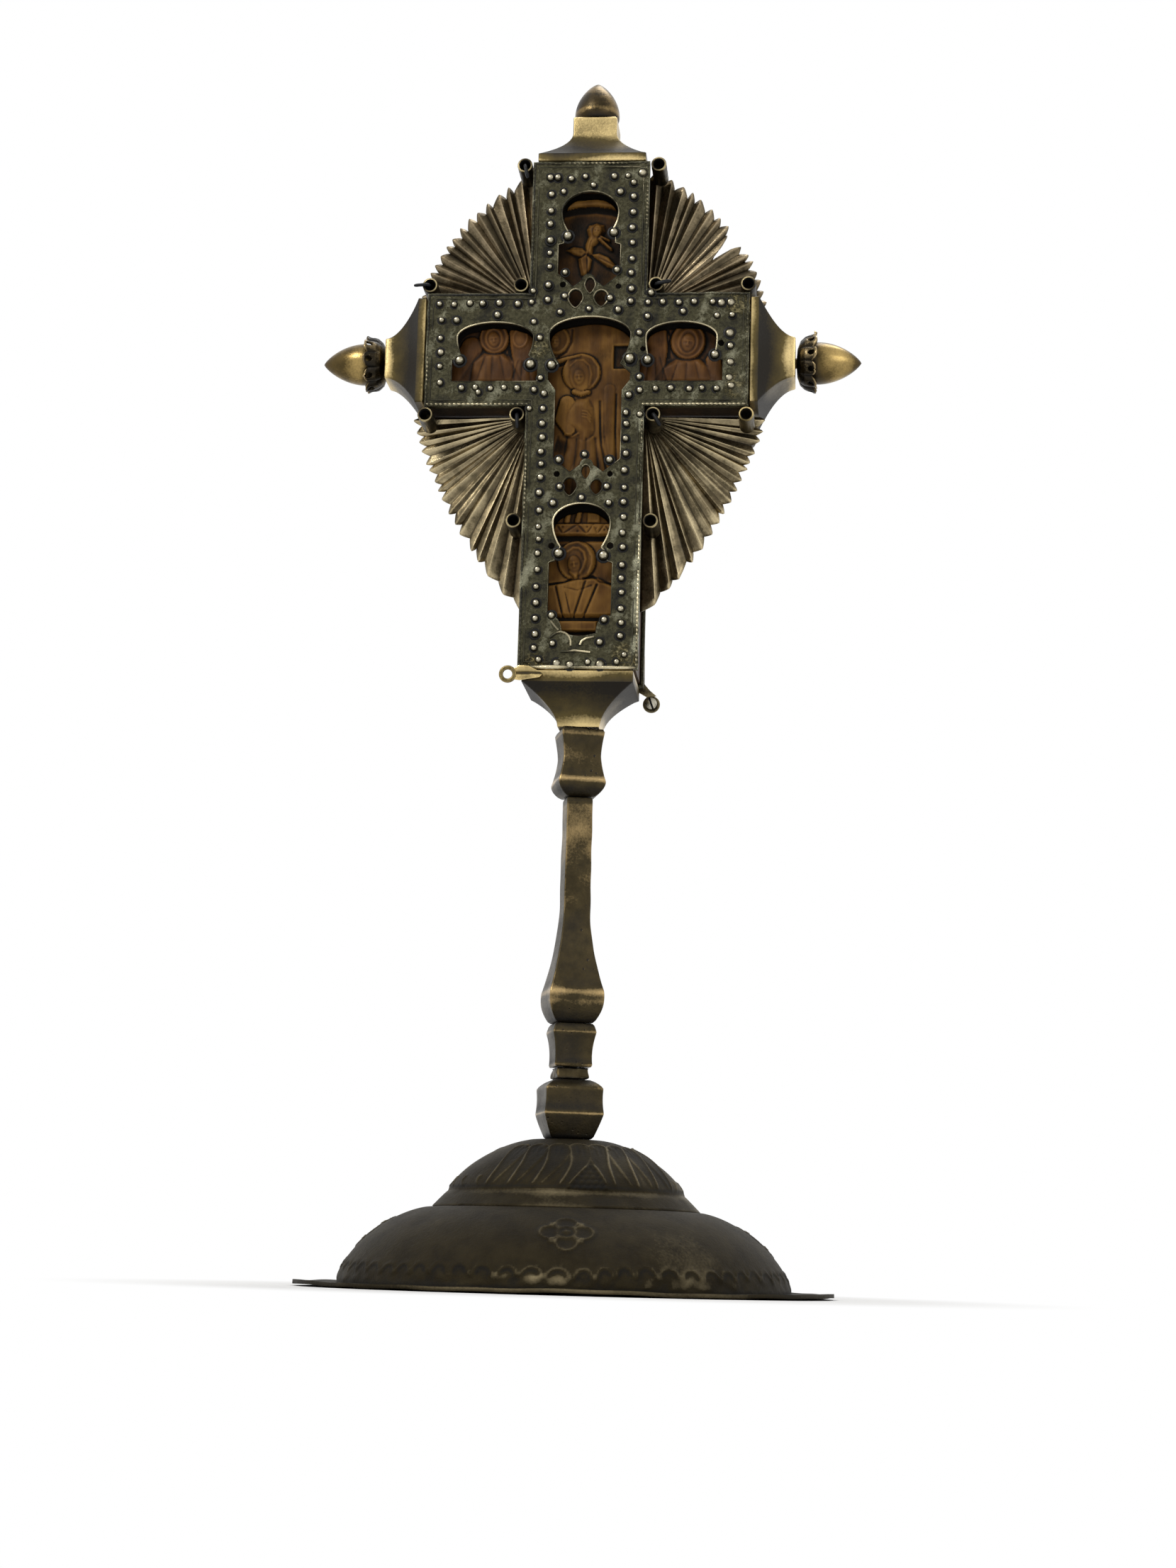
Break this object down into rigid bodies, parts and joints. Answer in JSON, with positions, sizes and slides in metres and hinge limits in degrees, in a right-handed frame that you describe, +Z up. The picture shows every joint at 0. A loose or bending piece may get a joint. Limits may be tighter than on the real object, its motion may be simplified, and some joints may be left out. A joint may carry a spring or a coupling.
{
  "type": "altar cross",
  "caption": "Carved boxwood altar cross in an openwork metal mount with ray fans and finials, on a square baluster stem and a round domed foot.",
  "frame": {"origin": "middle of the foot's rim, on the surface it stands on", "axes": "+Z up the stem, -Y out of the cross's front, +X along the right arm seen from the front"},
  "size_m": [0.1572, 0.148, 0.3526],
  "materials": {
    "foot_brass": "dark brown patina over raised sheet, worn to brass on the high edges",
    "cast_brass": "worn bronze-brown patina, rubbed bright on the ridges",
    "mount_brass": "satin, rubbed bright on flanges and edges",
    "tray_silver": "dark grey-green patinated silvered sheet with bright granules",
    "ray_metal": "bright pleated sheet with a pinkish-brown tarnish",
    "iron": "blackened iron",
    "boxwood": "oiled carved boxwood, darkened in the hollows"
  },
  "bodies": {
    "foot": {"foot_base": "foot_brass", "foot_dome": "foot_brass", "foot_washer": "cast_brass"},
    "stem": {"base_knop": "cast_brass", "neck_ring": "cast_brass", "lower_collar": "cast_brass", "shaft": "cast_brass", "upper_knop": "cast_brass"},
    "head": {"tie_rod": "iron", "bottom_socket": "mount_brass", "top_cap": "mount_brass", "left_socket": "mount_brass", "right_socket": "mount_brass", "front_frame": "tray_silver", "back_frame": "tray_silver", "boxwood_cross": "boxwood", "upper_left_rays": "ray_metal", "upper_right_rays": "ray_metal", "lower_left_rays": "ray_metal", "lower_right_rays": "ray_metal", "front_left_top_tube": "mount_brass", "front_left_upper_corner_tube": "mount_brass", "front_left_upper_arm_tube": "mount_brass", "front_left_lower_arm_tube": "mount_brass", "front_left_lower_corner_tube": "mount_brass", "front_left_middle_tube": "mount_brass", "front_right_top_tube": "mount_brass", "front_right_upper_corner_tube": "mount_brass", "front_right_upper_arm_tube": "mount_brass", "front_right_lower_arm_tube": "mount_brass", "front_right_lower_corner_tube": "mount_brass", "front_right_middle_tube": "mount_brass", "back_left_top_tube": "mount_brass", "back_left_upper_corner_tube": "mount_brass", "back_left_upper_arm_tube": "mount_brass", "back_left_lower_arm_tube": "mount_brass", "back_left_lower_corner_tube": "mount_brass", "back_left_middle_tube": "mount_brass", "back_right_top_tube": "mount_brass", "back_right_upper_corner_tube": "mount_brass", "back_right_upper_arm_tube": "mount_brass", "back_right_lower_arm_tube": "mount_brass", "back_right_lower_corner_tube": "mount_brass", "back_right_middle_tube": "mount_brass", "top_left_wire": "iron", "upper_arm_left_wire": "iron", "upper_corner_right_wire": "iron", "lower_corner_left_wire": "iron", "lower_corner_right_wire": "iron", "eyelet": "mount_brass", "screw_lug": "mount_brass"},
    "nut": {"foot_nut": "iron"},
    "top_finial": {"top_bud": "cast_brass"},
    "left_finial": {"left_cup": "cast_brass", "left_acorn": "cast_brass", "left_pin": "cast_brass"},
    "right_finial": {"right_cup": "cast_brass", "right_acorn": "cast_brass", "right_pin": "cast_brass"},
    "screw": {"lug_screw": "iron"}
  },
  "joints": [
    {"name": "stem_turn", "type": "hinge", "parent": "foot", "child": "stem", "pos_m": [0, 0, 0.0413], "axis": [0, 0, 1], "continuous": true},
    {"name": "head_turn", "type": "hinge", "parent": "stem", "child": "head", "pos_m": [0, 0, 0.1564], "axis": [0, 0, 1], "continuous": true},
    {"name": "nut_turn", "type": "hinge", "parent": "head", "child": "nut", "pos_m": [0, 0, 0.0358], "axis": [0, 0, 1], "continuous": true},
    {"name": "top_finial_turn", "type": "hinge", "parent": "head", "child": "top_finial", "pos_m": [0, 0, 0.3398], "axis": [0, 0, 1], "continuous": true},
    {"name": "left_finial_turn", "type": "hinge", "parent": "head", "child": "left_finial", "pos_m": [-0.0599, 0, 0.2655], "axis": [-1, 0, 0], "continuous": true},
    {"name": "right_finial_turn", "type": "hinge", "parent": "head", "child": "right_finial", "pos_m": [0.0599, 0, 0.2655], "axis": [1, 0, 0], "continuous": true},
    {"name": "screw_turn", "type": "hinge", "parent": "head", "child": "screw", "pos_m": [0.0192, 0.013, 0.1672], "axis": [0, -1, 0], "continuous": true}
  ]
}
